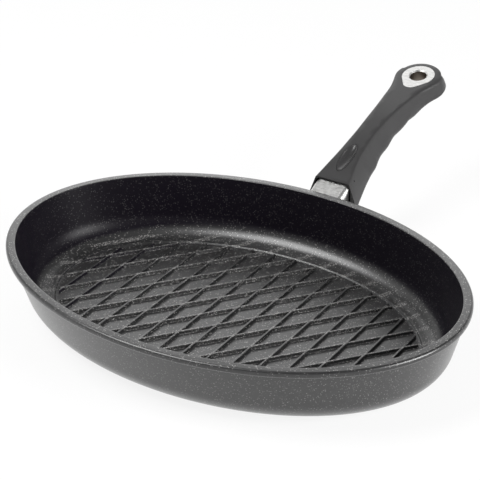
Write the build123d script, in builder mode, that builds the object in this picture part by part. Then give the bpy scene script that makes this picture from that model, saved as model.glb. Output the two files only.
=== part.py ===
from build123d import *

# Oval fish pan in cast aluminium with a ribbed grill floor and a handle that slides off its tongue.
# Sizes are millimetres. The origin is the middle of the flat base, +Y runs towards the handle, +Z is up.

import os
from math import ceil, cos, floor, radians, sin, sqrt, tan

# Bowl, an oval of tangent arcs: a small one at each end, a shoulder, and a large one along the side
rim_length = 350.0
rim_width = 240.0
shoulder_radius = 155.0
end_turn = 38.0         # degrees of the end arc on each side of the long axis
shoulder_turn = 30.0
pan_height = 50.0
rim_land = 7.0          # from the bead's outside to the inner wall
bead_overhang = 3.0     # how far the bead stands out from the wall below it
bead_height = 4.6
bead_first = 1.2        # first and second cut round the bead's edges
bead_second = 0.4
rim_inner_chamfer = 0.6
outer_lean = 14.0       # degrees from upright
inner_lean = 12.0
base_round = 24.0
inner_round = 12.0

# Grill floor
floor_thickness = 5.2
floor_recess = 1.0      # small step from the ledge down to the grill floor
ledge_margin = 0.8      # narrow flat between the wall's fillet and the ledge
ledge_fall = 0.8        # fall of the ledge from there to the step
ledge_end = 6.0         # width of the ledge at the two ends of the oval
ledge_side = 1.4        # width of the ledge along the two long sides
rib_height = 1.6
rib_top = 1.4
rib_draft = 16.0        # degrees on each flank
rib_root = 0.6          # depth of a rib's foot in the floor
rib_margin = 0.9        # gap between the rib ends and the step
cross_angle = 91.6      # direction of the crosswise ribs, degrees from +X
cross_spacing = 17.7
slant_angle = 51.4      # direction of the slanting ribs
slant_spacing = 17.3
lattice_x = -20.4       # one crossing of the two families
lattice_y = -10.1

# Neck and tongue, on a plane that rises from the wall
neck_inset = 7.3        # from the rim's outside in to the neck's origin
neck_drop = 12.9        # from the rim's top down to it
neck_tilt = 25.0
boss_width = 42.0
boss_height = 19.0
boss_depth = 2.0        # depth of the boss in the wall
sleeve_width = 28.4
sleeve_height = 13.2
sleeve_corner = 4.0
sleeve_wall = 1.2
sleeve_start = 12.0
sleeve_length = 19.0
sleeve_clearance = 0.1
tongue_width = 14.0
tongue_thickness = 7.0
tongue_drop = 1.0       # height of the tongue's middle below the neck's axis
tongue_length = 62.0
tongue_chamfer = 2.0
stem_slot = 5.4
stem_slot_start = 43.5
window_width = 8.0
window_start = 35.5
window_length = 5.0

# Grip, on a plane that rises less steeply and ends in the eye
eye_reach = 155.3       # from the neck's origin to the eye, along the neck
eye_sink = 11.9         # and down from the neck's axis
grip_bend = 13.0        # degrees between the two planes
edge_chamfer = 1.0
corner_first = 0.75     # first and second cut of a lower corner, as shares of the corner's size
corner_second = 0.25
mouth_place = 20.5
mouth_gap_side = 1.2    # air between the sleeve and the mouth
mouth_gap_top = 1.5
mouth_gap_below = 2.0
mouth_corner = 5.0
mouth_end_gap = 0.6

# Grip sections at an even pitch, from the mouth to the one before the eye: height of the top edge,
# half width there, depth, outward flare of the sides per mm of depth, size of the lower corners
section_pitch = 10.3
grip_sections = [
    (-12.2, 17.5, 24.2, 0.40, 6.5),
    (-9.5, 15.2, 24.8, 0.40, 6.5),
    (-6.8, 13.0, 25.0, 0.40, 6.5),
    (-4.3, 10.9, 25.2, 0.40, 6.5),
    (-2.3, 9.3, 25.4, 0.39, 6.8),
    (-0.8, 8.4, 24.6, 0.37, 7.0),
    (0.4, 7.9, 22.2, 0.34, 7.0),
    (1.2, 8.0, 23.0, 0.32, 7.0),
    (1.8, 8.4, 19.8, 0.29, 6.7),
    (1.9, 9.0, 21.0, 0.26, 6.4),
    (1.7, 10.1, 17.5, 0.23, 5.6),
    (1.3, 11.3, 16.3, 0.19, 4.9),
    (0.9, 12.6, 15.4, 0.15, 4.5),
    (0.3, 15.3, 14.9, 0.10, 4.0),
]
head_radius = 17.7
head_depth = 13.8
head_flare = 0.08
head_corner = 3.5

# Steel liner of the socket
slide_clearance = 0.2
liner_wall = 0.9
liner_length = 38.4
liner_bend = 0.5        # inner radius of its folds
moulding_clearance = 0.1

# Release button
button_place = 47.8
button_length = 28.0
button_width = 10.0
button_gap = 0.25
button_dish = 1.8
dish_width = 10.6       # the dish just reaches the cap's edge
dish_length = 29.0
button_travel = 2.5
flange_lip = 1.0
flange_thickness = 0.9
stem_width = 4.4
stem_length = 6.4
stem_room = 0.5         # air round the stem in the liner

# Latch leaf, its screw and nut
leaf_thickness = 0.8
leaf_width = 7.0
leaf_start = 36.0
tooth_length = 4.0
tooth_tip = 0.9
tooth_rise = 4.4
spring_room = 5.6       # free height for the leaf under the liner
screw_place = 66.2
screw_radius = 2.0
screw_hole_gap = 0.15
screw_grip = 4.0        # moulding between the leaf and the screw's head
head_of_screw_radius = 3.8
head_of_screw_height = 2.4
nut_across = 6.4
nut_height = 3.0
screw_end = 0.5

# Hanging eye
eye_bore = 6.5
eye_tube_wall = 1.4
eye_plate = 1.5
eye_proud = 0.3
eye_disc_radius = 12.8
eye_tail_radius = 6.2
eye_tail_back = 11.4
eye_countersink = 1.0
eye_ring_radius = 11.0
eye_ring_clearance = 0.05

# Places and levels that follow from the sizes above
half_length = rim_length / 2
half_width = rim_width / 2
floor_level = floor_thickness
ledge_level = floor_level + floor_recess
crease_level = ledge_level + ledge_fall
bead_level = pan_height - bead_height
sleeve_end = sleeve_start + sleeve_length
recess_end = sleeve_end + mouth_end_gap
tongue_bottom = -tongue_drop - tongue_thickness / 2
tongue_top = tongue_bottom + tongue_thickness
liner_inside_bottom = tongue_bottom - slide_clearance
liner_inside_top = tongue_top + slide_clearance
liner_inside_width = tongue_width + 2 * slide_clearance
liner_bottom = liner_inside_bottom - liner_wall
liner_top = liner_inside_top + liner_wall
liner_width = liner_inside_width + 2 * liner_wall
liner_end = recess_end + liner_length
leaf_bottom = liner_bottom - leaf_thickness
flange_bottom = liner_top + button_travel + button_gap
flange_top = flange_bottom + flange_thickness
screw_seat = leaf_bottom - screw_grip
nut_top = liner_inside_bottom + nut_height
eye_seat = eye_proud - eye_plate
eye_foot = -head_depth - eye_proud
eye_tube_radius = eye_bore + eye_tube_wall


def tilted(origin, tilt):
    """A plane whose Y axis rises from the pan at the given tilt."""
    return Plane(origin=origin, x_dir=(1, 0, 0), z_dir=(0, -sin(radians(tilt)), cos(radians(tilt))))


def across(plane, distance):
    """The plane that cuts a tilted plane square across, at a distance along its Y axis."""
    origin = plane.from_local_coords((0, distance, 0))
    return Plane(origin=origin, x_dir=(-1, 0, 0), z_dir=plane.y_dir)


def level(plane, distance, height):
    """The plane parallel to a tilted plane, at a distance along it and a height above it."""
    origin = plane.from_local_coords((0, distance, height))
    return Plane(origin=origin, x_dir=(1, 0, 0), z_dir=plane.z_dir)


neck = tilted((0, half_width - neck_inset, pan_height - neck_drop), neck_tilt)
grip = tilted(neck.from_local_coords((0, eye_reach, -eye_sink)), neck_tilt - grip_bend)


def arc_oval(length, width, shoulder, height):
    """An oval face of tangent arcs about the Z axis, by its half sizes and shoulder radius, at a height."""
    turn = radians(end_turn)
    both = radians(end_turn + shoulder_turn)
    run = length - shoulder * (cos(turn) - cos(both))
    rise = width - shoulder * (sin(both) - sin(turn))
    share = (1 - cos(turn)) * (1 - sin(both)) - cos(both) * sin(turn)
    end_radius = (run * (1 - sin(both)) - rise * cos(both)) / share
    side_radius = (rise * (1 - cos(turn)) - run * sin(turn)) / share
    with BuildSketch(Plane.XY.offset(height)) as face:
        with BuildLine():
            end = JernArc((length, 0), (0, 1), end_radius, end_turn)
            shoulder_arc = JernArc(end @ 1, end % 1, shoulder, shoulder_turn)
            JernArc(shoulder_arc @ 1, shoulder_arc % 1, side_radius, 90 - end_turn - shoulder_turn)
            mirror(about=Plane.YZ)
            mirror(about=Plane.XZ)
        make_face()
    return face.sketch


def oval(inset, height):
    """The rim's oval drawn in by an inset, at a height."""
    return arc_oval(half_length - inset, half_width - inset, shoulder_radius - inset, height)


def bar(start, end, width, bottom, top, corner=0.0, mode=Mode.ADD):
    """A straight bar along the neck, between two distances and two heights."""
    with BuildSketch(across(neck, start)) as section:
        with Locations((0, (bottom + top) / 2)):
            if corner:
                RectangleRounded(width, top - bottom, corner)
            else:
                Rectangle(width, top - bottom)
    extrude(section.sketch, amount=end - start, mode=mode)


def post(place, length, width, bottom, top, mode=Mode.ADD):
    """A rectangular post square to the neck, between two heights."""
    with BuildSketch(level(neck, place, bottom)) as section:
        Rectangle(width, length)
    extrude(section.sketch, amount=top - bottom, mode=mode)


def oval_post(length, width, bottom, top, mode=Mode.ADD):
    """An oval post at the button's place, between two heights."""
    with BuildSketch(level(neck, button_place, bottom)) as section:
        Ellipse(width / 2, length / 2)
    extrude(section.sketch, amount=top - bottom, mode=mode)


def pin(plane, place, radius, bottom, top, mode=Mode.ADD):
    """A round pin square to a tilted plane, between two heights."""
    with BuildSketch(level(plane, place, bottom)) as section:
        Circle(radius)
    extrude(section.sketch, amount=top - bottom, mode=mode)


def drop(growth, bottom, top, mode=Mode.ADD):
    """The eye plate's drop outline, grown all round, between two heights of the grip."""
    with BuildSketch(level(grip, 0, bottom)) as section:
        Circle(eye_disc_radius + growth)
        with Locations((0, -eye_tail_back)):
            Circle(eye_tail_radius + growth)
        make_hull()
    extrude(section.sketch, amount=top - bottom, mode=mode)


def leaned(height, inset, lean):
    """Inset of a leaning wall at a height, from its inset at the top."""
    return inset + (pan_height - height) * tan(radians(lean))


# Cavity of the bowl: leaning wall, large fillet, sloping ledge and recessed grill floor
wall_foot = leaned(crease_level, rim_land, inner_lean)
crease_inset = wall_foot + inner_round * tan(radians((90 - inner_lean) / 2))
crease_length = half_length - crease_inset - ledge_margin
crease_width = half_width - crease_inset - ledge_margin
step_length = crease_length - ledge_end
step_width = crease_width - ledge_side

ledge_inset = crease_inset + ledge_margin
step_shoulder = shoulder_radius - ledge_inset - (ledge_end + ledge_side) / 2
down = (0, 0, -1)

with BuildPart() as cavity:
    extrude(oval(rim_land, pan_height), amount=pan_height - crease_level, dir=down, taper=inner_lean)
    fillet(cavity.edges().group_by(Axis.Z)[0], inner_round)
    extrude(oval(rim_land, pan_height), amount=bead_height)
    ledge_inside = arc_oval(step_length, step_width, step_shoulder, ledge_level)
    loft([oval(ledge_inset, crease_level), ledge_inside], ruled=True)
    extrude(ledge_inside, amount=floor_recess, dir=down)


def rib_family(angle, spacing):
    """Parallel ribs at a spacing, one through the lattice's crossing, as far as the oval reaches."""
    run = Vector(cos(radians(angle)), sin(radians(angle)), 0)
    side = run.cross(Vector(0, 0, 1))
    start = run * -half_length + Vector(0, 0, floor_level)
    shift = Vector(lattice_x, lattice_y, 0).dot(side)
    reach = sqrt((side.X * (step_length - rib_margin)) ** 2 + (side.Y * (step_width - rib_margin)) ** 2)
    foot = rib_top + 2 * (rib_height + rib_root) * tan(radians(rib_draft))
    with BuildSketch(Plane(origin=start, x_dir=side, z_dir=run)) as sections:
        for place in range(ceil((-reach - shift) / spacing), floor((reach - shift) / spacing) + 1):
            with Locations((shift + place * spacing, (rib_height - rib_root) / 2)):
                Trapezoid(foot, rib_height + rib_root, 90 - rib_draft)
    extrude(sections.sketch, amount=rim_length)
    trim_level = floor_level - rib_root
    trim = arc_oval(step_length - rib_margin, step_width - rib_margin, step_shoulder - rib_margin, trim_level)
    extrude(trim, amount=rib_root + rib_height, mode=Mode.INTERSECT)


with BuildPart() as cross_ribs:
    rib_family(cross_angle, cross_spacing)

with BuildPart() as slant_ribs:
    rib_family(slant_angle, slant_spacing)

# Pan body: bowl, bead, root boss and tongue in one casting
core_width = sleeve_width - 2 * (sleeve_wall + sleeve_clearance)
core_half_height = sleeve_height / 2 - sleeve_wall - sleeve_clearance
core_corner = sleeve_corner - sleeve_wall - sleeve_clearance

with BuildPart() as bead:
    extrude(oval(0, bead_level), amount=bead_height)
    chamfer(bead.edges().filter_by(Plane.XY), bead_first)
    chamfer(bead.edges().filter_by(Plane.XY), bead_second)

with BuildPart() as pan_body:
    extrude(oval(bead_overhang, pan_height), amount=pan_height, dir=down, taper=outer_lean)
    fillet(pan_body.edges().group_by(Axis.Z)[0], base_round)
    add(bead.part)
    with BuildSketch(across(neck, -boss_depth)) as boss_root:
        RectangleRounded(boss_width, boss_height, sleeve_corner + boss_depth)
    with BuildSketch(across(neck, sleeve_start - sleeve_clearance)) as boss_face:
        RectangleRounded(sleeve_width, sleeve_height, sleeve_corner)
    loft([boss_root.sketch, boss_face.sketch], ruled=True)
    bar(0, sleeve_end, core_width, -core_half_height, core_half_height, core_corner)
    with BuildSketch(level(neck, 0, tongue_bottom)) as tongue:
        Rectangle(tongue_width, tongue_length, align=(Align.CENTER, Align.MIN))
        chamfer(tongue.vertices().group_by(Axis.Y)[-1], tongue_chamfer)
        with Locations((0, window_start)):
            Rectangle(window_width, window_length, align=(Align.CENTER, Align.MIN), mode=Mode.SUBTRACT)
        with Locations((0, stem_slot_start)):
            Rectangle(stem_slot, tongue_length, align=(Align.CENTER, Align.MIN), mode=Mode.SUBTRACT)
    extrude(tongue.sketch, amount=tongue_thickness)
    add(cavity.part, mode=Mode.SUBTRACT)
    chamfer(pan_body.faces().filter_by(Plane.XY).sort_by(Axis.Z)[-1].inner_wires()[0].edges(), rim_inner_chamfer)
    add(cross_ribs.part)
    add(slant_ribs.part)
pan_body.part.label = "pan_body"

# Neck sleeve: a bright metal tube pushed over the root of the tongue
with BuildPart() as neck_sleeve:
    bar(sleeve_start, sleeve_end, sleeve_width, -sleeve_height / 2, sleeve_height / 2, sleeve_corner)
    bar(
        sleeve_start, sleeve_end, sleeve_width - 2 * sleeve_wall, sleeve_wall - sleeve_height / 2,
        sleeve_height / 2 - sleeve_wall, sleeve_corner - sleeve_wall, Mode.SUBTRACT,
    )
neck_sleeve.part.label = "neck_sleeve"


def grip_section(number, top, half, depth, flare, corner, halved=False):
    """One section of the grip: flat top, flared sides, and lower corners rounded in three facets."""
    base = half + flare * depth
    with BuildSketch(across(grip, -number * section_pitch)) as section:
        with BuildLine():
            Polyline((-half, top), (half, top), (base, top - depth), (-base, top - depth), close=True)
        make_face()
        chamfer(section.vertices().sort_by(Axis.Y)[:2], corner * corner_first)
        chamfer(section.vertices().sort_by(Axis.Y)[:4], corner * corner_second)
        chamfer(section.vertices().sort_by(Axis.Y)[-2:], edge_chamfer)
        if halved:
            with Locations((0, top)):
                Rectangle(2 * base, 4 * depth, align=(Align.MAX, Align.CENTER), mode=Mode.INTERSECT)
    return section.sketch


# Outer form of the grip: a loft from the mouth to the eye and half a turn for the round head. The loft
# runs one pitch past the eye, where it is cut off, so that it reaches the head without a ripple.
head_section = (0.0, head_radius, head_depth, head_flare, head_corner)
grip_rows = grip_sections + [head_section, head_section]
mouth_plane = Plane(origin=neck.from_local_coords((0, mouth_place, 0)), x_dir=(1, 0, 0), z_dir=(0, 1, 0))

with BuildPart() as grip_body:
    loft([grip_section(len(grip_sections) - place, *row) for place, row in enumerate(grip_rows)])
    split(bisect_by=across(grip, 0), keep=Keep.BOTTOM)
    half_head = grip_section(0, *head_section, halved=True)
    revolve(half_head, axis=Axis(grip.origin, grip.z_dir), revolution_arc=180)
    split(bisect_by=mouth_plane, keep=Keep.TOP)

# Grip: open mouth round the sleeve, bore for the liner, room for button and leaf, eye recesses
recess_width = sleeve_width + 2 * mouth_gap_side
recess_bottom = -sleeve_height / 2 - mouth_gap_below
recess_top = sleeve_height / 2 + mouth_gap_top
outside = pan_height + sleeve_length

with BuildPart() as handle_grip:
    add(grip_body.part)
    bar(0, recess_end, recess_width, recess_bottom, recess_top, mouth_corner, Mode.SUBTRACT)
    bar(
        recess_end - mouth_end_gap, liner_end + moulding_clearance, liner_width + 2 * moulding_clearance,
        liner_bottom - moulding_clearance, liner_top + moulding_clearance, mode=Mode.SUBTRACT,
    )
    bar(
        leaf_start - mouth_gap_side, liner_end + moulding_clearance, leaf_width + 2 * moulding_clearance,
        leaf_bottom - moulding_clearance, 0, mode=Mode.SUBTRACT,
    )
    bar(
        leaf_start - mouth_gap_side, screw_place - head_of_screw_radius, leaf_width + 2 * moulding_clearance,
        liner_bottom - spring_room, 0, mode=Mode.SUBTRACT,
    )
    oval_post(
        button_length + 2 * (flange_lip + button_gap), button_width + 2 * (flange_lip + button_gap),
        0, flange_top + moulding_clearance, Mode.SUBTRACT,
    )
    oval_post(button_length + 2 * button_gap, button_width + 2 * button_gap, 0, outside, Mode.SUBTRACT)
    pin(neck, screw_place, screw_radius + screw_hole_gap, screw_seat - screw_grip, 0, Mode.SUBTRACT)
    pin(neck, screw_place, head_of_screw_radius + button_gap, -outside, screw_seat, Mode.SUBTRACT)
    drop(moulding_clearance, eye_seat, outside, Mode.SUBTRACT)
    pin(grip, 0, eye_tube_radius + moulding_clearance, -outside, outside, Mode.SUBTRACT)
    pin(grip, 0, eye_ring_radius + moulding_clearance, -outside, eye_foot + eye_plate, Mode.SUBTRACT)
handle_grip.part.label = "handle_grip"

# Liner: folded steel tube with slots for the stem, the leaf's tooth and the screw
with BuildPart() as socket_liner:
    bar(recess_end, liner_end, liner_width, liner_bottom, liner_top, liner_bend + liner_wall)
    bar(
        recess_end, liner_end, liner_inside_width, liner_inside_bottom, liner_inside_top, liner_bend,
        Mode.SUBTRACT,
    )
    post(button_place, stem_length + 2 * stem_room, stem_slot, -outside, outside, Mode.SUBTRACT)
    post(window_start + window_length / 2, window_length, window_width, -outside, 0, Mode.SUBTRACT)
    pin(neck, screw_place, screw_radius + screw_hole_gap, -outside, 0, Mode.SUBTRACT)
socket_liner.part.label = "socket_liner"

# Release button: dished oval cap flush with the grip, flange under the grip's lip, stem to the leaf
dish_radius = button_dish / 2 + (dish_width / 2) ** 2 / (2 * button_dish)
dish_sweep = button_dish / 2 + (dish_length / 2) ** 2 / (2 * button_dish)
button_spot = level(neck, button_place, 0)
button_ray = Axis(button_spot.origin, button_spot.z_dir)

with BuildPart() as release_button:
    oval_post(button_length, button_width, flange_bottom, outside)
    add(grip_body.part, mode=Mode.INTERSECT)
    cap_height = button_spot.to_local_coords(release_button.vertices().sort_by(button_ray)[-1]).Z
    oval_post(
        button_length + 2 * flange_lip, button_width + 2 * flange_lip, flange_bottom, flange_top,
    )
    post(button_place, stem_length, stem_width, liner_bottom + moulding_clearance, flange_top)
    dish_place = level(neck, button_place, cap_height - button_dish + dish_sweep)
    with Locations(Plane(origin=dish_place.origin, x_dir=neck.y_dir, z_dir=neck.x_dir)):
        Torus(dish_sweep - dish_radius, dish_radius, mode=Mode.SUBTRACT)
release_button.part.label = "release_button"

# Latch leaf: flat steel strip held at its rear end, its tooth ramped on the side the tongue comes from
tooth_end = leaf_start + tooth_length
tooth_top = liner_bottom + tooth_rise

with BuildPart() as latch_spring:
    bar(leaf_start, liner_end, leaf_width, leaf_bottom, liner_bottom)
    tooth_side = Plane(origin=neck.from_local_coords((leaf_width / 2, 0, 0)), x_dir=neck.y_dir, z_dir=(1, 0, 0))
    with BuildSketch(tooth_side) as tooth:
        with BuildLine():
            Polyline(
                (leaf_start, liner_bottom), (tooth_end, liner_bottom), (tooth_end, tooth_top),
                (tooth_end - tooth_tip, tooth_top), close=True,
            )
        make_face()
    extrude(tooth.sketch, amount=-leaf_width)
    pin(neck, screw_place, screw_radius + screw_hole_gap, -outside, 0, Mode.SUBTRACT)
latch_spring.part.label = "latch_spring"

# Screw from below through grip, leaf and liner into its nut
with BuildPart() as liner_screw:
    pin(neck, screw_place, head_of_screw_radius, screw_seat - head_of_screw_height, screw_seat)
    chamfer(liner_screw.edges().sort_by(button_ray)[0], head_of_screw_height / 3)
    pin(neck, screw_place, screw_radius, screw_seat, nut_top + screw_end)
liner_screw.part.label = "liner_screw"

with BuildPart() as liner_nut:
    with BuildSketch(level(neck, screw_place, liner_inside_bottom)) as nut_outline:
        RegularPolygon(nut_across / 2, 6, major_radius=False)
        Circle(screw_radius + eye_ring_clearance, mode=Mode.SUBTRACT)
    extrude(nut_outline.sketch, amount=nut_height)
liner_nut.part.label = "liner_nut"

# Hanging eye: drop-shaped plate let into the head, its tube, and a ring that holds the tube below
grip_ray = Axis(grip.origin, grip.z_dir)

with BuildPart() as hang_eye:
    drop(0, eye_seat, eye_proud)
    pin(grip, 0, eye_tube_radius, eye_foot, eye_seat)
    pin(grip, 0, eye_bore, -outside, outside, Mode.SUBTRACT)
    bore_edges = hang_eye.edges().filter_by(GeomType.CIRCLE).filter_by(lambda edge: edge.radius == eye_bore)
    chamfer(bore_edges.sort_by(grip_ray)[-1], eye_countersink)
hang_eye.part.label = "hang_eye"

with BuildPart() as eye_ring:
    pin(grip, 0, eye_ring_radius, eye_foot, eye_foot + eye_plate)
    pin(grip, 0, eye_tube_radius + eye_ring_clearance, -outside, outside, Mode.SUBTRACT)
eye_ring.part.label = "eye_ring"

pieces = [
    pan_body, neck_sleeve, handle_grip, socket_liner, release_button,
    latch_spring, liner_screw, liner_nut, hang_eye, eye_ring,
]
os.makedirs("parts", exist_ok=True)
for piece in pieces:
    export_step(piece.part, "parts/" + piece.part.label + ".step")
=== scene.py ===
from math import ceil, cos, radians, sin, sqrt, tan

import bpy
from bpy.props import FloatProperty, FloatVectorProperty, PointerProperty
from mathutils import Matrix, Vector


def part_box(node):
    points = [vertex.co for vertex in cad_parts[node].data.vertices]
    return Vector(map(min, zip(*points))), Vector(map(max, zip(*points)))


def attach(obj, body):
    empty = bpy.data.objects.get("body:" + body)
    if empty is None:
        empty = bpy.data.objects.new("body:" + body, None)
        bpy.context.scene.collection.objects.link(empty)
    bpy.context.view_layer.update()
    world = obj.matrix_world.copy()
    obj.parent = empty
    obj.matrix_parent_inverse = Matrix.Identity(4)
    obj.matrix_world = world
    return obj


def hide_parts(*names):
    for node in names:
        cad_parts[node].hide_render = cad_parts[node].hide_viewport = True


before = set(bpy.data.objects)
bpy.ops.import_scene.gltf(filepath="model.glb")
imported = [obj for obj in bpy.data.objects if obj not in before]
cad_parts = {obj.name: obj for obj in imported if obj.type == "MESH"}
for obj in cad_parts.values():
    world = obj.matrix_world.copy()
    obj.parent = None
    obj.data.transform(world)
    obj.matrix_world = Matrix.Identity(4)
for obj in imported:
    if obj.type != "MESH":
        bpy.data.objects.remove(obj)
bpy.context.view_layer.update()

bl_info = {
    "name": "Oval Fish Pan",
    "version": (1, 0, 0),
    "blender": (4, 5, 0),
    "location": "View3D > Sidebar > Fish Pan",
    "description": "Dresses an oval grill pan with a slide-off handle and sets up its studio",
    "category": "Object",
}

MM = 0.001
MERGE_DISTANCE = 0.001 * MM
PAN_LOW, PAN_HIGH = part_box("pan_body")
OVAL_POINTS = 224
NECK_TILT = 25.0
EYE_TILT = 12.0
EYE_CENTRE = (0.0, 258.48 * MM, 91.95 * MM)     # on the grip's top, in the middle of the hanging eye


class Wire:
    """A socket in a material's node tree. Arithmetic on it adds Math nodes."""

    def __init__(self, tree, socket=None):
        self.tree = tree
        self.socket = socket

    def node(self, kind, settings=None, output=0, **inputs):
        """Adds a node: its settings first, then values or links for its sockets, named or as in_0, in_1."""
        node = self.tree.nodes.new(kind)
        for name, value in (settings or {}).items():
            setattr(node, name, value)
        for name, value in inputs.items():
            key = int(name[3:]) if name.startswith("in_") else name.replace("_", " ")
            if isinstance(value, Wire):
                self.tree.links.new(value.socket, node.inputs[key])
            else:
                node.inputs[key].default_value = value
        return Wire(self.tree, node.outputs[output])

    def maths(self, operation, first, second=0.0):
        return self.node("ShaderNodeMath", {"operation": operation}, in_0=first, in_1=second)

    def maths_of(self, operation):
        return self.node("ShaderNodeMath", {"operation": operation}, in_0=self)

    def __add__(self, other):
        return self.maths("ADD", self, other)

    def __radd__(self, other):
        return self.maths("ADD", other, self)

    def __sub__(self, other):
        return self.maths("SUBTRACT", self, other)

    def __rsub__(self, other):
        return self.maths("SUBTRACT", other, self)

    def __mul__(self, other):
        return self.maths("MULTIPLY", self, other)

    def __rmul__(self, other):
        return self.maths("MULTIPLY", other, self)

    def __truediv__(self, other):
        return self.maths("DIVIDE", self, other)

    def above(self, low, high):
        """0 below low, 1 above high, and a smooth step between."""
        return self.node(
            "ShaderNodeMapRange", {"interpolation_type": "SMOOTHSTEP"},
            Value=self, From_Min=low, From_Max=high,
        )

    def noise(self, scale, detail=2.0, roughness=0.5):
        """Noise of a scale per metre on this vector."""
        return self.node("ShaderNodeTexNoise", Vector=self, Scale=scale, Detail=detail, Roughness=roughness)

    def blend(self, first, second):
        """A colour from first to second as this goes from 0 to 1."""
        return self.node(
            "ShaderNodeMix", {"data_type": "RGBA"}, output=2, in_0=self, in_6=first, in_7=second,
        )


def colour(values):
    return (*values, 1.0)


class Finish:
    """A new material with a Principled shader and its Object coordinates."""

    def __init__(self, name):
        self.material = bpy.data.materials.new(name)
        self.material.use_nodes = True
        self.tree = self.material.node_tree
        self.shader = self.tree.nodes["Principled BSDF"]
        self.start = Wire(self.tree)
        self.place = self.start.node("ShaderNodeTexCoord", output=3)

    def set(self, **sockets):
        for name, value in sockets.items():
            socket = self.shader.inputs[name.replace("_", " ")]
            if isinstance(value, Wire):
                self.tree.links.new(value.socket, socket)
            else:
                socket.default_value = value

    def axis(self, number):
        return self.start.node("ShaderNodeSeparateXYZ", output=number, Vector=self.place)

    def normal_axis(self, number):
        normal = self.start.node("ShaderNodeTexCoord", output=1)
        return self.start.node("ShaderNodeSeparateXYZ", output=number, Vector=normal)

    def outward(self):
        """How far the surface faces away from the upright axis, times its distance from it."""
        return self.axis(0) * self.normal_axis(0) + self.axis(1) * self.normal_axis(1)

    def bump(self, height, depth):
        self.set(Normal=self.start.node("ShaderNodeBump", Height=height, Distance=depth, Strength=1.0))

    def give(self, *names):
        """Makes this the only material of CAD nodes or new pieces."""
        for name in names:
            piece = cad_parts[name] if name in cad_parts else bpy.data.objects[name]
            piece.data.materials.clear()
            piece.data.materials.append(self.material)


def pick_faces(test):
    """Selects the faces of the piece in edit mode whose centre and normal pass a test."""
    bpy.ops.mesh.select_mode(type="FACE")
    bpy.ops.object.mode_set(mode="OBJECT")
    mesh = bpy.context.object.data
    for part in (*mesh.vertices, *mesh.edges, *mesh.polygons):
        part.select = False
    for face in mesh.polygons:
        face.select = test(face.center, face.normal)
    bpy.ops.object.mode_set(mode="EDIT")


def grow(size, steps):
    """Extrudes the selected face through steps of (size x, size y, height), from its present size."""
    for step in steps:
        bpy.ops.mesh.extrude_region_move(TRANSFORM_OT_translate={"value": (0.0, 0.0, step[2] - size[2])})
        bpy.ops.transform.resize(value=(step[0] / size[0], step[1] / size[1], 1.0))
        size = step


def in_mm(steps):
    """Steps written in millimetres, in metres."""
    return [tuple(value * MM for value in step) for step in steps]


def oval_body(name, down, up=()):
    """A closed oval body through rings of (half length, half width, height).

    It goes down from its first ring, and then up from there.
    """
    bpy.ops.object.select_all(action="DESELECT")
    bpy.ops.mesh.primitive_circle_add(vertices=OVAL_POINTS, radius=1.0, fill_type="NGON")
    piece = bpy.context.object
    piece.name = name
    bpy.ops.object.mode_set(mode="EDIT")
    bpy.ops.mesh.select_all(action="SELECT")
    bpy.ops.transform.resize(value=(down[0][0], down[0][1], 1.0))
    bpy.ops.transform.translate(value=(0.0, 0.0, down[0][2]))
    grow(down[0], down[1:])
    if up:
        first_level = down[0][2]
        pick_faces(lambda centre, normal: abs(centre.z - first_level) < 0.01 * MM and abs(normal.z) > 0.9)
        grow(down[0], up)
    close_up()
    return piece


def close_up():
    """Merges doubles, points all faces outwards and leaves edit mode."""
    bpy.ops.mesh.select_all(action="SELECT")
    bpy.ops.mesh.remove_doubles(threshold=MERGE_DISTANCE)
    bpy.ops.mesh.normals_make_consistent(inside=False)
    bpy.ops.object.mode_set(mode="OBJECT")


def bar_body(name, steps, corner=0.0):
    """A closed bar that stands on its first section and goes up through steps of (width, depth, height)."""
    bpy.ops.object.select_all(action="DESELECT")
    bpy.ops.mesh.primitive_plane_add(size=1.0)
    piece = bpy.context.object
    piece.name = name
    bpy.ops.object.mode_set(mode="EDIT")
    bpy.ops.mesh.select_all(action="SELECT")
    bpy.ops.transform.resize(value=(steps[0][0], steps[0][1], 1.0))
    bpy.ops.transform.translate(value=(0.0, 0.0, steps[0][2]))
    if corner:
        bpy.ops.mesh.bevel(offset=corner, segments=5, affect="VERTICES")
    grow(steps[0], steps[1:])
    close_up()
    return piece


def settle(piece, place, turn):
    """Turns and moves a piece and applies both to its mesh."""
    bpy.ops.object.select_all(action="DESELECT")
    piece.select_set(True)
    bpy.context.view_layer.objects.active = piece
    piece.location = place
    piece.rotation_euler = turn
    bpy.ops.object.transform_apply(location=True, rotation=True, scale=True)


def combine(piece, tool, operation="UNION"):
    """Unites a piece with a tool, cuts it by the tool, or keeps what both share. The tool goes."""
    bpy.ops.object.select_all(action="DESELECT")
    piece.select_set(True)
    bpy.context.view_layer.objects.active = piece
    join = piece.modifiers.new("join", "BOOLEAN")
    join.operation = operation
    join.solver = "EXACT"
    join.object = tool
    bpy.ops.object.modifier_apply(modifier=join.name)
    bpy.data.objects.remove(tool)


def merged_copy(node, name):
    """A copy of a CAD solid with its doubled points merged, ready to be shaped."""
    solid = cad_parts[node]
    bpy.ops.object.select_all(action="DESELECT")
    solid.select_set(True)
    bpy.context.view_layer.objects.active = solid
    bpy.ops.object.duplicate()
    piece = bpy.context.object
    for key in [key for key in piece.keys() if key.startswith("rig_")]:
        del piece[key]
    piece.parent = None
    piece.name = name
    bpy.ops.object.mode_set(mode="EDIT")
    bpy.ops.mesh.select_all(action="SELECT")
    bpy.ops.mesh.customdata_custom_splitnormals_clear()
    bpy.ops.mesh.remove_doubles(threshold=MERGE_DISTANCE)
    bpy.ops.object.mode_set(mode="OBJECT")
    return piece


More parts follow.
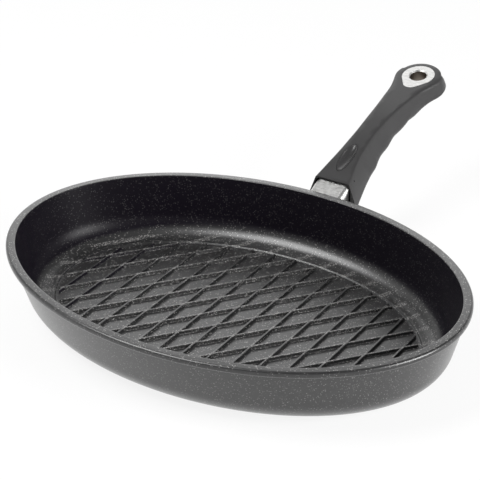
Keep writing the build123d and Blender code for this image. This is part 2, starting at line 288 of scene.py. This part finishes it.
class BowlSizes(bpy.types.PropertyGroup):
    half_length: FloatProperty(
        name="Half length", description="From the middle of the bowl to the end of the rim",
        default=PAN_HIGH.x, min=0.05, unit="LENGTH",
    )
    half_width: FloatProperty(
        name="Half width", description="From the middle of the bowl to the side of the rim",
        default=-PAN_LOW.y, min=0.04, unit="LENGTH",
    )
    height: FloatProperty(
        name="Height", description="From the base to the top of the rim", default=50.0 * MM, min=0.02,
        unit="LENGTH",
    )
    floor_level: FloatProperty(
        name="Floor level", description="Height of the grill floor above the base", default=4.9 * MM,
        min=1.0 * MM, unit="LENGTH", precision=5,
    )
    rib_height: FloatProperty(
        name="Rib height", description="Height of the ribs above the grill floor", default=2.1 * MM,
        min=0.5 * MM, unit="LENGTH", precision=5,
    )
    rib_foot: FloatProperty(
        name="Rib foot", description="Width of a rib at its foot", default=3.8 * MM, min=1.0 * MM,
        unit="LENGTH", precision=5,
    )
    cross_spacing: FloatProperty(
        name="Crosswise spacing", description="Spacing of the crosswise ribs", default=17.7 * MM,
        min=5.0 * MM, unit="LENGTH", precision=5,
    )
    slant_spacing: FloatProperty(
        name="Slanting spacing", description="Spacing of the slanting ribs", default=17.3 * MM,
        min=5.0 * MM, unit="LENGTH", precision=5,
    )


class CoatingFinish(bpy.types.PropertyGroup):
    base: FloatVectorProperty(
        name="Coating", description="Colour of the non-stick coating", subtype="COLOR",
        default=(0.014, 0.0138, 0.0142), min=0.0, max=1.0,
    )
    # Painted shade: the inner wall gets this darker, purplish colour in place of the coating's own, standing for
    # the dark it reflects.
    wall: FloatVectorProperty(
        name="Inner wall", description="Colour of the coating on the inner wall", subtype="COLOR",
        default=(0.0045, 0.0032, 0.0065), min=0.0, max=1.0,
    )
    # Also the colour of the light grit painted as glints on the slanting ribs.
    fleck: FloatVectorProperty(
        name="Flecks", description="Colour of the fine mineral flecks in the coating", subtype="COLOR",
        default=(0.42, 0.41, 0.40), min=0.0, max=1.0,
    )
    fleck_size: FloatProperty(
        name="Fleck size", description="Spacing of the flecks", default=0.9 * MM, min=0.1 * MM,
        unit="LENGTH", precision=5,
    )
    roughness: FloatProperty(
        name="Roughness", description="Roughness of the coating", default=0.36, min=0.0, max=1.0,
        subtype="FACTOR",
    )
    grain_depth: FloatProperty(
        name="Grain depth", description="Depth of the cast grain under the coating", default=0.06 * MM,
        min=0.0, unit="LENGTH", precision=5,
    )


class MouldingFinish(bpy.types.PropertyGroup):
    base: FloatVectorProperty(
        name="Moulding", description="Colour of the handle's moulding", subtype="COLOR",
        default=(0.030, 0.0295, 0.030), min=0.0, max=1.0,
    )
    roughness: FloatProperty(
        name="Roughness", description="Roughness of the moulding", default=0.42, min=0.0, max=1.0,
        subtype="FACTOR",
    )
    grain_depth: FloatProperty(
        name="Grain depth", description="Depth of the spark-eroded grain", default=0.03 * MM,
        min=0.0, unit="LENGTH", precision=5,
    )


class MetalFinish(bpy.types.PropertyGroup):
    bright: FloatVectorProperty(
        name="Bright metal", description="Colour of the sleeve and the hanging eye", subtype="COLOR",
        default=(0.74, 0.737, 0.725), min=0.0, max=1.0,
    )
    # Painted shade: the eye's bore gets this darker brown-grey in place of the shade inside the hole.
    bore: FloatVectorProperty(
        name="Eye bore", description="Colour of the unpolished metal in the eye's bore", subtype="COLOR",
        default=(0.20, 0.175, 0.15), min=0.0, max=1.0,
    )
    steel: FloatVectorProperty(
        name="Steel", description="Colour of the sheet steel in the socket", subtype="COLOR",
        default=(0.56, 0.56, 0.55), min=0.0, max=1.0,
    )


class StudioSetup(bpy.types.PropertyGroup):
    ambient: FloatProperty(
        name="Ambient", description="Strength of the even light from all round", default=0.20, min=0.0,
    )
    key_power: FloatProperty(
        name="Overhead lamp", description="Power of the large soft lamp overhead", default=14.0, min=0.0,
        unit="POWER",
    )
    fill_power: FloatProperty(
        name="Back lamp", description="Power of the large soft lamp behind", default=6.5, min=0.0,
        unit="POWER",
    )
    side_power: FloatProperty(
        name="Right lamp", description="Power of the low soft lamp on the right", default=20.0, min=0.0,
        unit="POWER",
    )
    floor_glow: FloatProperty(
        name="Floor white", description="Share of the floor's white that a shadow leaves", default=0.86,
        min=0.0, max=1.0, subtype="FACTOR",
    )


class FISHPAN_OT_model_casting(bpy.types.Operator):
    """Models the cast bowl with its rolled rim, grill floor, handle root and tongue"""

    bl_idname = "fishpan.model_casting"
    bl_label = "Model the casting"

    OUTER_LEAN = radians(14.0)
    END_LEAN = radians(12.0)        # lean of the inner wall at the two ends and along the two sides
    SIDE_LEAN = radians(10.0)
    BASE_ROUND = 24.0 * MM
    BASE_STEPS = 14
    BEAD_ROUND = 1.9 * MM
    BEAD_HEIGHT = 4.6 * MM
    BEAD_OVERHANG = 3.0 * MM
    RIM_LAND = 7.0 * MM
    RIM_INNER_ROUND = 0.8 * MM
    END_ROUND = 20.0 * MM           # inner fillet at the two ends and along the two sides
    SIDE_ROUND = 15.5 * MM
    STEP_FALL = 1.0 * MM
    STEP_RUN = 1.3 * MM
    STEP_ROUND = ((0.3, 0.08), (0.55, 0.3), (0.8, 0.7), (1.0, 0.92), (1.3, 1.0))    # shares of run and fall
    CROSSING = (-20.4 * MM, -10.1 * MM)     # where a crosswise rib and a slanting rib cross
    CROSS_ANGLE = 91.6
    SLANT_ANGLE = 51.4
    # Half section of a rib, as shares of its foot's width and of its height
    RIB_SECTION = (
        (1.0, -0.4), (1.0, 0.02), (0.76, 0.12), (0.62, 0.32), (0.46, 0.84), (0.40, 0.96), (0.32, 1.0))
    GRILL_MARGIN = 3.6 * MM
    TRIM_ABOVE = 3.0 * MM
    TRIM_BELOW = 0.5 * MM
    NECK_INSET = 7.3 * MM           # the neck's origin, from the rim's side and top
    NECK_DROP = 12.9 * MM
    # Width, depth and place along the neck, in millimetres
    BOSS = ((42.0, 19.0, -2.0), (28.4, 13.2, 11.9))
    SLEEVE_CORE = ((25.8, 10.6, 0.0), (25.8, 10.6, 31.0))
    TONGUE = ((14.0, 7.0, 0.0), (14.0, 7.0, 60.0), (10.0, 7.0, 62.0))
    TONGUE_SLOTS = ((8.0, 35.5, 40.5), (5.4, 43.5, 65.0))       # width, start and end: window, stem's slot
    SLOT_DEPTH = 20.0
    TONGUE_DROP = 1.0 * MM
    BOSS_CORNER = 6.0 * MM
    CORE_CORNER = 2.7 * MM

    def execute(self, context):
        self.sizes = context.scene.fishpan_bowl
        casting = self.outer_body()
        neck = (0.0, self.sizes.half_width - self.NECK_INSET, self.sizes.height - self.NECK_DROP)
        for piece in self.neck_bodies():
            settle(piece, neck, (radians(NECK_TILT - 90.0), 0.0, 0.0))
            combine(casting, piece)
        combine(casting, self.cavity(), "DIFFERENCE")
        combine(casting, self.grill())
        casting.name = "cast_pan"
        bpy.ops.object.shade_smooth_by_angle(angle=radians(32.0))
        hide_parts("pan_body")
        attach(casting, "pan")
        return {"FINISHED"}

    def ring(self, inset, height, side_inset=None):
        """A ring inside the rim's outline by an inset, or by one at the ends and another at the sides."""
        return (self.sizes.half_length - inset,
                self.sizes.half_width - (inset if side_inset is None else side_inset), height)

    def outer_body(self):
        """Bead, leaning wall, base fillet and flat base."""
        top = self.sizes.height - self.BEAD_ROUND
        low = self.sizes.height - self.BEAD_HEIGHT + self.BEAD_ROUND
        turns = [radians(15.0 * step) for step in range(1, 7)]
        arc = [(self.BEAD_ROUND * (1 - cos(turn)), self.BEAD_ROUND * sin(turn)) for turn in turns]
        up = [self.ring(inset, top + rise) for inset, rise in arc]
        down = [self.ring(0.0, top), self.ring(0.0, low)]
        down += [self.ring(inset, low - rise) for inset, rise in arc]
        down.append(self.ring(self.BEAD_OVERHANG, low - self.BEAD_ROUND))
        lean = self.OUTER_LEAN
        middle = self.BEAD_OVERHANG + self.BASE_ROUND / cos(lean) + (
            self.sizes.height - self.BASE_ROUND) * tan(lean)
        for step in range(self.BASE_STEPS + 1):
            turn = lean + (radians(90.0) - lean) * step / self.BASE_STEPS
            down.append(self.ring(middle - self.BASE_ROUND * cos(turn), self.BASE_ROUND * (1 - sin(turn))))
        return oval_body("outer_body", down, up)

    def fillet_inset(self, height, bottom, round_off, lean):
        """Inset of the inner wall and its fillet at a height, for a fillet that ends at the bottom."""
        start = self.sizes.height - self.RIM_INNER_ROUND
        centre = bottom + round_off
        middle = self.RIM_LAND + (start - centre) * tan(lean) + round_off / cos(lean)
        if height > centre - round_off * sin(lean):
            return self.RIM_LAND + (start - height) * tan(lean)
        return middle - sqrt(max(0.0, round_off ** 2 - (centre - height) ** 2))

    def cavity(self):
        """Inner edge of the rim, leaning wall, fillet and the step down to the grill floor."""
        start = self.sizes.height - self.RIM_INNER_ROUND
        bottom = self.sizes.floor_level + self.STEP_FALL
        flare = self.RIM_LAND - self.RIM_INNER_ROUND
        rings = [self.ring(flare, self.sizes.height + MM)]
        for step in range(5):
            turn = radians(22.5 * step)
            rings.append(self.ring(
                flare + self.RIM_INNER_ROUND * sin(turn), start + self.RIM_INNER_ROUND * cos(turn)))
        heights = [bottom + self.END_ROUND * (1 - sin(radians(turn))) for turn in range(6, 91, 6)]
        for height in heights:
            rings.append(self.ring(
                self.fillet_inset(height, bottom, self.END_ROUND, self.END_LEAN), height,
                self.fillet_inset(height, bottom, self.SIDE_ROUND, self.SIDE_LEAN)))
        self.crease = rings[-1]
        for run, fall in self.STEP_ROUND:
            rings.append((self.crease[0] - run * self.STEP_RUN, self.crease[1] - run * self.STEP_RUN,
                          bottom - fall * self.STEP_FALL))
        return oval_body("cavity", rings)

    def rib_family(self, name, angle, spacing):
        """Parallel ribs with rounded tops and feet, one of them through the crossing."""
        foot, rise = self.sizes.rib_foot, self.sizes.rib_height
        length = 2 * self.sizes.half_length
        family = bar_body(name, [(width * foot, length, up * rise) for width, up in self.RIB_SECTION])
        count = ceil(self.sizes.half_length / spacing)
        copies = family.modifiers.new("copies", "ARRAY")
        copies.use_relative_offset = False
        copies.use_constant_offset = True
        copies.constant_offset_displace = (spacing, 0.0, 0.0)
        copies.count = 2 * count + 1
        bpy.ops.object.modifier_apply(modifier=copies.name)
        turn = radians(angle - 90.0)
        shift = self.CROSSING[0] * cos(turn) + self.CROSSING[1] * sin(turn) - count * spacing
        settle(family, (shift * cos(turn), shift * sin(turn), self.sizes.floor_level), (0.0, 0.0, turn))
        return family

    def grill(self):
        """Both rib families, trimmed to an oval inside the step."""
        ribs = self.rib_family("crosswise_ribs", self.CROSS_ANGLE, self.sizes.cross_spacing)
        combine(ribs, self.rib_family("slanting_ribs", self.SLANT_ANGLE, self.sizes.slant_spacing))
        outline = (self.crease[0] - self.GRILL_MARGIN, self.crease[1] - self.GRILL_MARGIN)
        level = self.sizes.floor_level
        trim = oval_body("trim", [(*outline, level + self.TRIM_ABOVE), (*outline, level - self.TRIM_BELOW)])
        combine(ribs, trim, "INTERSECT")
        return ribs

    def neck_bodies(self):
        """Root boss, core of the sleeve and slotted tongue, standing up from the neck's origin."""
        boss = bar_body("root_boss", in_mm(self.BOSS), self.BOSS_CORNER)
        core = bar_body("sleeve_core", in_mm(self.SLEEVE_CORE), self.CORE_CORNER)
        tongue = bar_body("tongue", in_mm(self.TONGUE))
        for width, start, end in self.TONGUE_SLOTS:
            slot = bar_body("slot", in_mm(((width, self.SLOT_DEPTH, start), (width, self.SLOT_DEPTH, end))))
            combine(tongue, slot, "DIFFERENCE")
        settle(tongue, (0.0, self.TONGUE_DROP, 0.0), (0.0, 0.0, 0.0))
        return boss, core, tongue


class FISHPAN_OT_coat_casting(bpy.types.Operator):
    """Gives the casting its dark flecked coating, smoother on the rib tops, gritty on the slanting ribs with
    their light grit as painted glint, and painted shade on the inner wall
    """

    bl_idname = "fishpan.coat_casting"
    bl_label = "Coat the casting"

    # Where each zone starts and is full: by the outward measure, by height, by how far a face looks up,
    # by the share of a rib's height, and by the distance from a rib's middle in spacings
    INNER_WALL = (-0.106, -0.080)
    OUTER_WALL = (0.02, 0.06)
    ABOVE_BASE = (2.0 * MM, 3.0 * MM)
    ABOVE_FLOOR = (2.6 * MM, 3.2 * MM)
    LOOKS_UP = (0.55, 0.9)
    RIB_TOP = (0.86, 0.95)
    RIB_SIDE = (0.095, 0.125)
    RIB_FOOT = (0.02 * MM, 0.06 * MM)
    FLECK_CHOICE = (0.72, 0.98)
    FLECK_EDGE = (0.25, 0.55)
    # Edge of the noise that places the light grit painted as glints on the slanting ribs
    PAINTED_GLINT_EDGE = (0.45, 0.66)

    def execute(self, context):
        look = context.scene.fishpan_coating
        sizes = context.scene.fishpan_bowl
        finish = Finish("dark_flecked_coating")
        place, height, facing = finish.place, finish.axis(2), finish.normal_axis(2)
        outward = finish.outward()
        inner_wall = 1 - outward.above(*self.INNER_WALL)
        outer_wall = outward.above(*self.OUTER_WALL)
        floor_zone = (1 - height.above(*[sizes.floor_level + reach for reach in self.ABOVE_FLOOR])) * (
            1 - outer_wall) * height.above(*self.ABOVE_BASE)
        flanks = floor_zone * (1 - facing.above(*self.LOOKS_UP))
        rib_tops = floor_zone * height.above(
            *[sizes.floor_level + share * sizes.rib_height for share in self.RIB_TOP])

        turn = radians(FISHPAN_OT_model_casting.SLANT_ANGLE - 90.0)
        crossing = FISHPAN_OT_model_casting.CROSSING
        shift = crossing[0] * cos(turn) + crossing[1] * sin(turn)
        row = (finish.axis(0) * cos(turn) + finish.axis(1) * sin(turn) - shift) / sizes.slant_spacing
        from_line = ((row + 0.5).maths_of("FRACT") - 0.5).maths_of("ABSOLUTE")
        slanting = floor_zone * (1 - from_line.above(*self.RIB_SIDE)) * height.above(
            *[sizes.floor_level + reach for reach in self.RIB_FOOT])

        cell = 1.0 / look.fleck_size
        pick = finish.start.node("ShaderNodeSeparateColor", Color=finish.start.node(
            "ShaderNodeTexVoronoi", output=1, Vector=place, Scale=cell))
        near = finish.start.node("ShaderNodeTexVoronoi", Vector=place, Scale=cell)
        flecks = pick.above(*self.FLECK_CHOICE) * (1 - near.above(*self.FLECK_EDGE))
        cloud = place.noise(160.0, 3.0)
        grain = place.noise(1300.0, 3.0, 0.7)
        painted_glint_spots = place.noise(950.0, 2.0, 0.7).above(*self.PAINTED_GLINT_EDGE)
        # On the inner wall most flecks are left out and the colour below turns to the darker wall colour:
        # painted shade.
        flecks_and_painted_glint = flecks * (0.8 - 0.66 * inner_wall - 0.35 * outer_wall)
        # Light grit on the slanting ribs alone, less on their flanks, is a painted glint of their sparkling
        # faces.
        flecks_and_painted_glint = flecks_and_painted_glint + painted_glint_spots * slanting * (1 - flanks * 0.75) * 0.6
        finish.set(
            Base_Color=flecks_and_painted_glint.maths("MINIMUM", flecks_and_painted_glint, 1.0).blend(
                inner_wall.blend(colour(look.base), colour(look.wall)), colour(look.fleck)),
            Roughness=look.roughness + (cloud - 0.5) * 0.12 + (grain - 0.5) * 0.3 - rib_tops * 0.06,
            Coat_Weight=(1 - 0.97 * inner_wall) * (1 - 0.9 * flanks) * (0.8 + 0.4 * (grain - 0.5) + 0.2 * cloud),
            Specular_IOR_Level=0.15,
            Coat_Roughness=0.3,
            Coat_IOR=1.62,
        )
        finish.bump(grain * (1 + slanting * 1.5 - rib_tops * 0.5) + flecks * 0.4, look.grain_depth)
        finish.give("cast_pan")
        return {"FINISHED"}


class FISHPAN_OT_shape_grip(bpy.types.Operator):
    """Shapes the moulded grip from a copy of its solid: calmer finger waves, slimmer mouth and fuller head"""

    bl_idname = "fishpan.shape_grip"
    bl_label = "Shape the grip"

    PITCH = 10.3 * MM
    # From the eye to the mouth, one row per pitch, in millimetres: the solid's own height of the top edge,
    # depth and half width at the foot, then what is added to the depth and to that half width
    ROWS = (
        (0.0, 13.8, 18.8, -0.8, 3.6), (0.3, 14.9, 16.8, -0.6, 2.6), (0.9, 15.4, 14.9, 0.6, 1.6),
        (1.3, 16.3, 14.4, 1.2, 0.9), (1.7, 17.5, 14.1, 0.4, 0.3), (1.9, 21.0, 14.5, -2.0, 0.0),
        (1.8, 19.8, 14.1, -0.6, 0.0), (1.2, 23.0, 15.4, -2.8, -0.3), (0.4, 22.2, 15.4, -1.4, -0.5),
        (-0.8, 24.6, 17.5, -2.8, -0.9), (-2.3, 25.4, 19.2, -3.3, -2.2), (-4.3, 25.2, 21.0, -3.3, -2.7),
        (-6.8, 25.0, 23.0, -3.3, -2.8), (-9.5, 24.8, 25.1, -3.3, -2.8), (-12.2, 24.2, 27.2, -3.3, -2.8),
    )
    SKIN = 1.3 * MM
    CORNER = 7.5 * MM
    BELLY = 0.4 * MM
    HEAD_FLARE = 0.08               # outward slope of the sides at the head, and what the mouth adds
    MOUTH_FLARE = 0.32
    FLARE_ROWS = 12
    TOP_SHARE = 0.3                 # share of the widening that the top edge takes
    EYE_REACH = 155.3 * MM          # from the neck's origin to the eye, along the neck and down from it
    EYE_SINK = 11.9 * MM
    # Pockets of the solid in the neck's directions: half width, and where each one starts and ends
    MOUTH_HALF, MOUTH_END, MOUTH_FLOOR = 16.6 * MM, 31.8 * MM, -8.9 * MM
    LINER_HALF, LINER_FLOOR = 8.9 * MM, -6.1 * MM
    LEAF_HALF, LEAF_FLOOR = 4.2 * MM, -11.4 * MM
    SCREW_PLACE, SCREW_RADIUS = 66.2 * MM, 4.3 * MM
    EYE_RADIUS = 11.3 * MM

    def execute(self, context):
        grip = merged_copy("handle_grip", "moulded_grip")
        eye = Matrix.Translation(EYE_CENTRE) @ Matrix.Rotation(radians(EYE_TILT), 4, "X")
        back = eye.inverted()
        for vertex in grip.data.vertices:
            place = back @ vertex.co
            if self.is_skin(place):
                vertex.co = eye @ self.moved(place)
        grip.data.update()
        bpy.ops.object.shade_smooth_by_angle(angle=radians(48.0))
        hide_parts("handle_grip")
        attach(grip, "handle")
        return {"FINISHED"}

    def row_at(self, along):
        """The row at a distance from the eye towards the mouth, between its neighbours."""
        place = min(max(along / self.PITCH, 0.0), len(self.ROWS) - 1.001)
        number = int(place)
        share = place - number
        share = share * share * (3.0 - 2.0 * share)
        return [(first + (second - first) * share) * MM
                for first, second in zip(self.ROWS[number], self.ROWS[number + 1])]

    def is_skin(self, place):
        """True for a point on the outside of the grip, and False inside its mouth, bores and pockets."""
        top, depth, half, *_ = self.row_at(-place.y)
        down = top - place.z
        towards_mouth = min(max(-place.y / (self.FLARE_ROWS * self.PITCH), 0.0), 1.0)
        flare = self.HEAD_FLARE + self.MOUTH_FLARE * towards_mouth
        outside = abs(place.x) > half - flare * (depth - down) - self.SKIN
        near_belly = down > depth - self.CORNER and not self.in_pocket(place)
        on_belly = down > depth - self.BELLY
        return on_belly or outside or near_belly

    def in_pocket(self, place):
        """True for a point in the mouth, or in the room for liner, leaf, screw or eye."""
        turn = radians(NECK_TILT - EYE_TILT)
        up = -self.EYE_SINK - place.y * sin(turn) + place.z * cos(turn)
        out = self.EYE_REACH + place.y * cos(turn) + place.z * sin(turn)
        across = abs(place.x)
        mouth = across < self.MOUTH_HALF and out < self.MOUTH_END and up > self.MOUTH_FLOOR
        liner = across < self.LINER_HALF and up > self.LINER_FLOOR
        leaf = across < self.LEAF_HALF and up > self.LEAF_FLOOR
        screw = across < self.LEAF_HALF and abs(out - self.SCREW_PLACE) < self.SCREW_RADIUS
        eye = Vector((place.x, place.y)).length < self.EYE_RADIUS
        return mouth or liner or leaf or screw or eye

    def moved(self, place):
        """Where a point of the skin goes: down by a share of the added depth, and out with the foot."""
        top, depth, half, deeper, wider = self.row_at(-place.y)
        share = min(max((top - place.z) / depth, 0.0), 1.0)
        stretch = 1.0 + wider / half * (self.TOP_SHARE + (1.0 - self.TOP_SHARE) * share)
        return Vector((place.x * stretch, place.y, place.z - deeper * share))


class FISHPAN_OT_dish_button(bpy.types.Operator):
    """Scoops the oval dish for the thumb out of a copy of the release button"""

    bl_idname = "fishpan.dish_button"
    bl_label = "Dish the button"

    DEPTH = 2.0 * MM
    SCOOP = (5.4 * MM, 15.6 * MM, 4.0 * MM)     # half axes of the rounded cutter
    PLACE = (0.0, 152.1 * MM, 65.8 * MM)        # middle of the button's cap
    SLOPE = NECK_TILT - 1.6

    def execute(self, context):
        button = merged_copy("release_button", "dished_button")
        bpy.ops.object.select_all(action="DESELECT")
        above_cap = (0.0, 0.0, self.SCOOP[2] - self.DEPTH)
        bpy.ops.mesh.primitive_uv_sphere_add(
            segments=64, ring_count=48, radius=1.0, location=above_cap, scale=self.SCOOP)
        scoop = context.object
        bpy.ops.object.transform_apply(location=True, rotation=True, scale=True)
        settle(scoop, self.PLACE, (radians(self.SLOPE), 0.0, 0.0))
        combine(button, scoop, "DIFFERENCE")
        bpy.ops.object.shade_smooth_by_angle(angle=radians(30.0))
        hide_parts("release_button")
        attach(button, "button")
        return {"FINISHED"}


class FISHPAN_OT_finish_handle(bpy.types.Operator):
    """Gives grip and button the fine eroded grain of a dark moulding"""

    bl_idname = "fishpan.finish_handle"
    bl_label = "Finish the handle"

    # Material, piece, grains per metre, and how much smoother and glossier it is
    MOULDINGS = (
        ("dark_moulding", "moulded_grip", 1700.0, 0.0),
        ("button_moulding", "dished_button", 2300.0, 0.16),
    )

    def execute(self, context):
        look = context.scene.fishpan_moulding
        for name, piece, grain_size, polish in self.MOULDINGS:
            finish = Finish(name)
            grain = finish.place.noise(grain_size, 2.0, 0.6)
            cloud = finish.place.noise(70.0, 3.0)
            tint = (cloud * 0.6 + grain * 0.4).blend(
                colour(look.base), colour([channel * 1.5 for channel in look.base]))
            finish.set(
                Specular_IOR_Level=0.32 + polish,
                Base_Color=tint,
                Roughness=look.roughness - polish + (cloud - 0.5) * 0.14 + (grain - 0.5) * 0.12,
            )
            finish.bump(grain, look.grain_depth)
            finish.give(piece)
        return {"FINISHED"}


class FISHPAN_OT_finish_metal(bpy.types.Operator):
    """Gives the sleeve and the hanging eye satin metal with painted shade in the eye's bore, and the socket's
    inner pieces brushed steel
    """

    bl_idname = "fishpan.finish_metal"
    bl_label = "Finish the metal"

    BORE_EDGE = (6.52 * MM, 6.75 * MM)      # distance from the eye's axis
    WEAR_EDGE = (0.36, 0.60)
    DULL_SHARE = 0.78                       # brightness of the duller patches

    def execute(self, context):
        look = context.scene.fishpan_metal
        satin = Finish("satin_bright_metal")
        mottle = satin.place.noise(420.0, 3.0, 0.6)
        streaks = satin.start.node("ShaderNodeTexNoise", Scale=1.0, Detail=2.0, Vector=satin.start.node(
            "ShaderNodeMapping", Vector=satin.place, Scale=(160.0, 900.0, 900.0)))
        fine = satin.place.noise(2600.0, 2.0)
        from_eye = satin.start.node("ShaderNodeVectorMath", {"operation": "SUBTRACT"},
                                    in_0=satin.place, in_1=EYE_CENTRE)
        from_axis = satin.start.node("ShaderNodeVectorMath", {"operation": "CROSS_PRODUCT"}, in_0=from_eye,
                                     in_1=(0.0, -sin(radians(EYE_TILT)), cos(radians(EYE_TILT))))
        reach = satin.start.node("ShaderNodeVectorMath", {"operation": "LENGTH"}, output=1, in_0=from_axis)
        # Painted shade: inside the eye's bore the metal turns to the darker bore colour.
        bore = 1 - reach.above(*self.BORE_EDGE)
        worn = (mottle * 0.45 + streaks * 0.4 + fine * 0.15).above(*self.WEAR_EDGE)
        satin.set(
            Base_Color=bore.blend(worn.blend(
                colour([channel * self.DULL_SHARE for channel in look.bright]),
                colour(look.bright)), colour(look.bore)),
            Metallic=1.0,
            Roughness=0.34 + (mottle - 0.5) * 0.25 + (fine - 0.5) * 0.15,
        )
        satin.bump(mottle * 0.5 + fine * 0.5, 0.04 * MM)
        satin.give("neck_sleeve", "hang_eye", "eye_ring")

        steel = Finish("brushed_sheet_steel")
        along = steel.start.node(
            "ShaderNodeMapping", Vector=steel.place, Rotation=(radians(-NECK_TILT), 0.0, 0.0),
            Scale=(3000.0, 90.0, 3000.0),
        )
        strokes = steel.start.node("ShaderNodeTexNoise", Vector=along, Scale=1.0, Detail=2.0)
        steel.set(
            Base_Color=strokes.blend(colour([channel * 0.8 for channel in look.steel]), colour(look.steel)),
            Metallic=1.0,
            Roughness=0.28 + strokes * 0.2,
        )
        steel.bump(strokes, 0.02 * MM)
        steel.give("socket_liner", "latch_spring", "liner_screw", "liner_nut")
        return {"FINISHED"}


class FISHPAN_OT_set_stage(bpy.types.Operator):
    """Sets a white floor, a world that is bright near the horizon, three softboxes and the camera"""

    bl_idname = "fishpan.set_stage"
    bl_label = "Set the stage"

    FLOOR_RADIUS = 4.0
    FLOOR_EDGE = 0.5
    FLOOR_SHADE = 0.8
    WHITE_BELOW = (0.25, 0.6)       # upward part of a ray's direction where the white fades
    # Name, place, size and the setting that holds the power
    LAMPS = (
        ("overhead_softbox", (-0.6, -0.45, 1.2), 0.8, "key_power"),
        ("back_softbox", (-0.9, 1.3, 1.0), 1.5, "fill_power"),
        ("right_softbox", (1.3, 0.1, 0.55), 0.8, "side_power"),
    )
    CAMERA_PLACE = (0.5810, -0.8006, 0.6134)
    CAMERA_AZIMUTH = 35.57
    CAMERA_ELEVATION = 28.93
    CAMERA_ROLL = -1.88
    SENSOR = 36.0
    FOCAL_PIXELS = 1666.0
    PICTURE_PIXELS = 480.0

    def execute(self, context):
        look = context.scene.fishpan_studio
        bpy.ops.object.select_all(action="DESELECT")
        bpy.ops.mesh.primitive_circle_add(vertices=96, radius=self.FLOOR_RADIUS, fill_type="NGON")
        floor = context.object
        floor.name = "studio_floor"
        bpy.ops.object.mode_set(mode="EDIT")
        bpy.ops.mesh.select_all(action="SELECT")
        bpy.ops.mesh.inset(thickness=self.FLOOR_EDGE)
        bpy.ops.object.mode_set(mode="OBJECT")
        finish = Finish("white_floor")
        seen = self.seen_by_view(finish.start)
        plain = finish.start.node("ShaderNodeBsdfDiffuse", Color=colour([self.FLOOR_SHADE] * 3))
        lit = finish.start.node("ShaderNodeBsdfDiffuse", Color=colour([1.0 - look.floor_glow] * 3))
        glow = finish.start.node("ShaderNodeEmission", Strength=look.floor_glow)
        white = finish.start.node("ShaderNodeAddShader", in_0=lit, in_1=glow)
        both = finish.start.node("ShaderNodeMixShader", in_0=seen, in_1=plain, in_2=white)
        finish.tree.nodes.remove(finish.shader)
        finish.tree.links.new(both.socket, finish.tree.nodes["Material Output"].inputs["Surface"])
        floor.data.materials.append(finish.material)

        world = context.scene.world or bpy.data.worlds.new("studio")
        context.scene.world = world
        world.use_nodes = True
        sky = Wire(world.node_tree)
        seen = self.seen_by_view(sky)
        backdrop = world.node_tree.nodes["Background"]
        backdrop.inputs["Color"].default_value = colour((1.0, 1.0, 1.0))
        upward = sky.node("ShaderNodeSeparateXYZ", output=2, Vector=sky.node("ShaderNodeTexCoord"))
        strength = look.ambient + seen * (1 - upward.above(*self.WHITE_BELOW)) * (1.0 - look.ambient)
        world.node_tree.links.new(strength.socket, backdrop.inputs["Strength"])

        for name, place, size, power in self.LAMPS:
            self.lamp(name, place, size, getattr(look, power))

        turn = Matrix.Rotation(radians(self.CAMERA_AZIMUTH), 3, "Z") @ Matrix.Rotation(
            radians(90.0 - self.CAMERA_ELEVATION), 3, "X")
        turn = turn @ Matrix.Rotation(radians(self.CAMERA_ROLL), 3, "Z")
        bpy.ops.object.camera_add(location=self.CAMERA_PLACE, rotation=turn.to_euler())
        camera = context.object
        camera.name = "photo_camera"
        camera.data.sensor_width = self.SENSOR
        camera.data.lens = self.SENSOR * self.FOCAL_PIXELS / self.PICTURE_PIXELS
        camera.data.clip_end = 20.0
        context.scene.camera = camera
        context.scene.view_settings.view_transform = "Standard"
        return {"FINISHED"}

    def seen_by_view(self, start):
        """1 for rays from the camera, a gloss or a clear piece, and 0 for other light."""
        rays = [start.node("ShaderNodeLightPath", output=name)
                for name in ("Is Camera Ray", "Is Glossy Ray", "Is Transmission Ray")]
        return start.maths("MAXIMUM", start.maths("MAXIMUM", rays[0], rays[1]), rays[2])

    def lamp(self, name, place, size, power):
        """A round softbox that faces the pan."""
        turn = Vector(place).to_track_quat("Z", "Y").to_euler()
        bpy.ops.object.light_add(type="AREA", location=place, rotation=turn)
        lamp = bpy.context.object
        lamp.name = name
        lamp.data.shape = "DISK"
        lamp.data.size = size
        lamp.data.energy = power


GROUPS = {
    "fishpan_bowl": BowlSizes,
    "fishpan_coating": CoatingFinish,
    "fishpan_moulding": MouldingFinish,
    "fishpan_metal": MetalFinish,
    "fishpan_studio": StudioSetup,
}
OPERATORS = (
    FISHPAN_OT_model_casting,
    FISHPAN_OT_shape_grip,
    FISHPAN_OT_dish_button,
    FISHPAN_OT_coat_casting,
    FISHPAN_OT_finish_handle,
    FISHPAN_OT_finish_metal,
    FISHPAN_OT_set_stage,
)


class FISHPAN_PT_sidebar(bpy.types.Panel):
    """Lists the pan's finishes and the stage"""

    bl_label = "Fish Pan"
    bl_idname = "FISHPAN_PT_sidebar"
    bl_space_type = "VIEW_3D"
    bl_region_type = "UI"
    bl_category = "Fish Pan"

    def draw(self, context):
        for group in GROUPS:
            settings = getattr(context.scene, group)
            box = self.layout.box()
            for name in settings.bl_rna.properties.keys():
                if name not in ("rna_type", "name"):
                    box.prop(settings, name)
        for operator in OPERATORS:
            self.layout.operator(operator.bl_idname)


def register():
    for group, kind in GROUPS.items():
        bpy.utils.register_class(kind)
        setattr(bpy.types.Scene, group, PointerProperty(type=kind))
    for kind in (*OPERATORS, FISHPAN_PT_sidebar):
        bpy.utils.register_class(kind)


def unregister():
    for kind in (FISHPAN_PT_sidebar, *reversed(OPERATORS)):
        bpy.utils.unregister_class(kind)
    for group, kind in GROUPS.items():
        delattr(bpy.types.Scene, group)
        bpy.utils.unregister_class(kind)


def main():
    register()
    bpy.ops.fishpan.model_casting()
    bpy.ops.fishpan.shape_grip()
    bpy.ops.fishpan.dish_button()
    bpy.ops.fishpan.coat_casting()
    bpy.ops.fishpan.finish_handle()
    bpy.ops.fishpan.finish_metal()
    bpy.ops.fishpan.set_stage()


if __name__ == "__main__":
    main()
